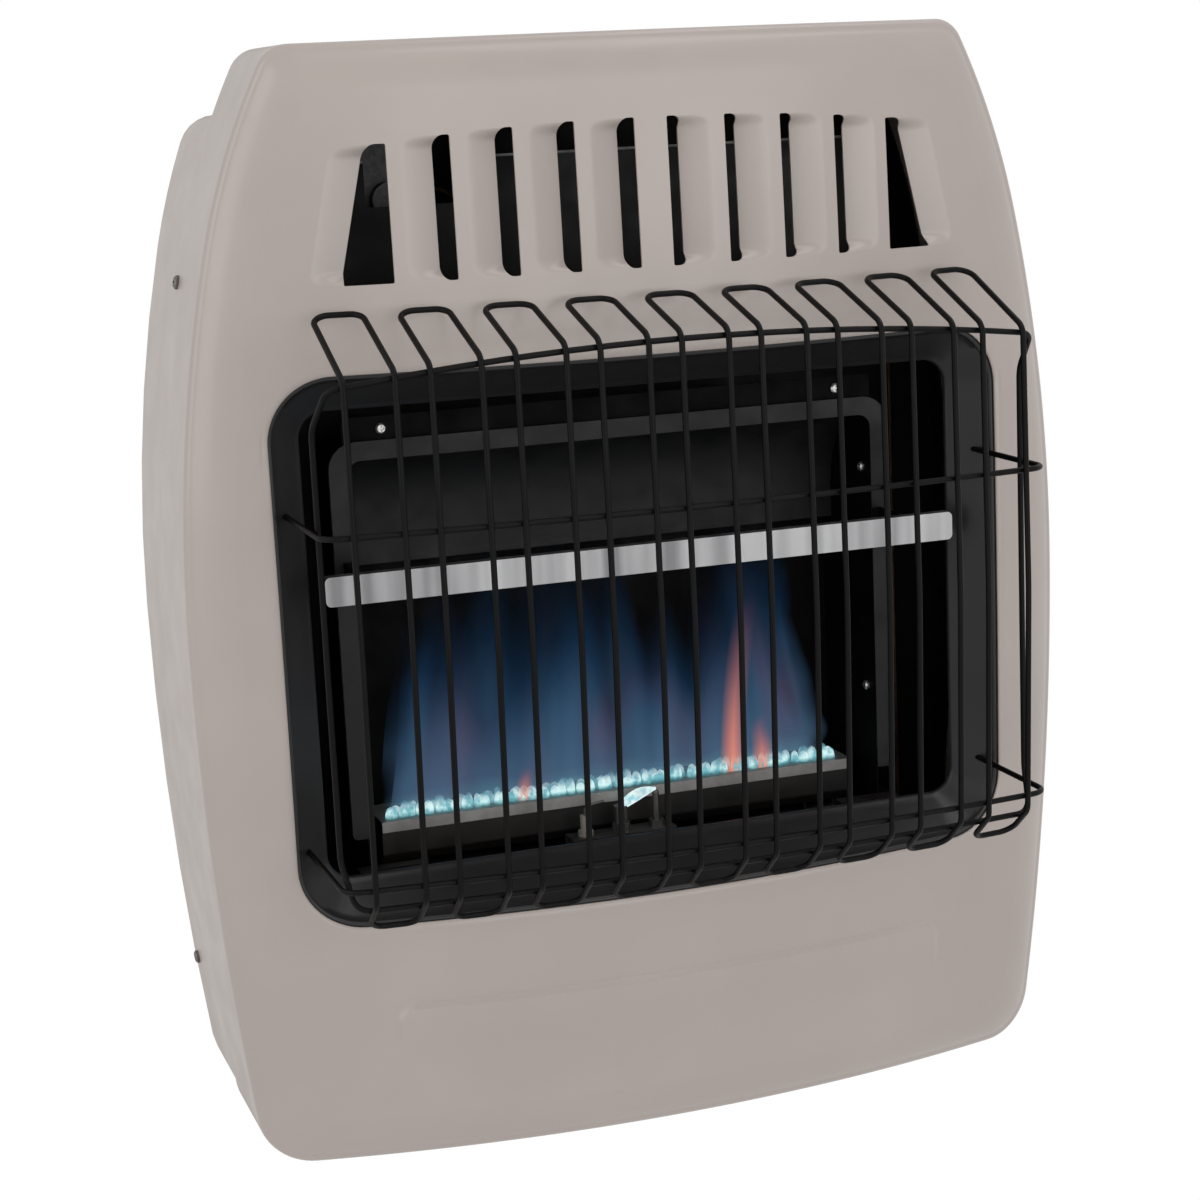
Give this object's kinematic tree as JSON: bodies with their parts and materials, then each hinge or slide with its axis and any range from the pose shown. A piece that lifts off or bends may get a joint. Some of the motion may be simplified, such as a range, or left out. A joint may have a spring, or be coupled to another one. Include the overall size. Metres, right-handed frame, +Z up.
{
  "type": "wall mounted gas heater",
  "caption": "vent-free wall mounted gas room heater with a bowed, louvred steel front, wire guard, open firebox, long burner and controls behind the top edge",
  "frame": {"origin": "middle of the two wall screws, on the wall plane", "axes": "+X to the right as seen from the room, -Y out of the wall into the room, +Z up"},
  "size_m": [0.512, 0.2605, 0.605],
  "materials": {
    "taupe_enamel": "warm grey-taupe enamel, smooth satin, on pressed steel sheet",
    "charcoal_enamel": "charcoal enamel, semi-matt",
    "guard_wire": "black coated wire, semi-gloss",
    "galvanised_steel": "galvanised sheet, dull grey",
    "dark_steel": "steel sheet, darkened, dull",
    "heat_stained_steel": "black heat-proof paint, matt",
    "bright_steel": "plated, polished",
    "burner_steel": "aluminised steel, dulled by heat",
    "brass": "machined brass",
    "porcelain": "glazed white ceramic",
    "copper_tube": "drawn copper",
    "aluminium_tube": "drawn aluminium tube, satin",
    "cast_aluminium": "die cast, dull",
    "silicone_lead": "black silicone sleeve",
    "black_plastic": "moulded black plastic, fine grain",
    "red_plastic": "moulded red plastic"
  },
  "bodies": {
    "casing": {"front_panel": "taupe_enamel", "window_bezel": "charcoal_enamel", "guard_ring": "guard_wire", "guard_loops": "guard_wire", "guard_cross_rods": "guard_wire", "cabinet_shell": "taupe_enamel", "back_panel": "dark_steel", "wall_bracket": "galvanised_steel", "wall_spacers": "galvanised_steel", "firebox_shell": "heat_stained_steel", "firebox_front_frame": "charcoal_enamel", "firebox_supports": "heat_stained_steel", "firebox_floor": "heat_stained_steel", "heat_hood": "heat_stained_steel", "deflector_bar": "bright_steel", "bar_brackets": "heat_stained_steel", "heat_shield": "dark_steel", "burner_body": "burner_steel", "burner_port_strip": "burner_steel", "burner_brackets": "galvanised_steel", "venturi_tube": "galvanised_steel", "air_shutter": "galvanised_steel", "gas_injector": "brass", "injector_bracket": "galvanised_steel", "pilot_bracket": "galvanised_steel", "pilot_burner": "brass", "electrode_insulator": "porcelain", "ignition_electrode": "bright_steel", "thermocouple": "copper_tube", "pilot_tube": "aluminium_tube", "ignition_lead": "silicone_lead", "thermocouple_lead": "copper_tube", "burner_supply_tube": "aluminium_tube", "inlet_tube": "aluminium_tube", "compression_nuts": "brass", "gas_regulator": "cast_aluminium", "regulator_cap": "brass", "control_valve": "cast_aluminium", "sensing_bulb": "copper_tube", "bulb_clips": "galvanised_steel", "capillary_tube": "copper_tube", "igniter_barrel": "black_plastic", "igniter_nut": "galvanised_steel", "panel_screws": "bright_steel", "back_screws": "bright_steel", "firebox_screws": "heat_stained_steel"},
    "plunger": {"valve_plunger": "brass"},
    "knob": {"valve_stem": "bright_steel", "control_knob": "black_plastic"},
    "button": {"igniter_button": "red_plastic"}
  },
  "joints": [
    {"name": "knob_push", "type": "slide", "parent": "casing", "child": "plunger", "axis": [0, 0, -1], "range_m": [0, 0.004], "stiffness_N_per_m": 600, "springref_m": -0.003},
    {"name": "knob_turn", "type": "hinge", "parent": "plunger", "child": "knob", "pos_m": [-0.112, -0.042, 0.08], "axis": [0, 0, 1], "range_deg": [0, 250]},
    {"name": "igniter_press", "type": "slide", "parent": "casing", "child": "button", "axis": [0, 0, -1], "range_m": [0, 0.008], "stiffness_N_per_m": 400, "springref_m": -0.004}
  ]
}
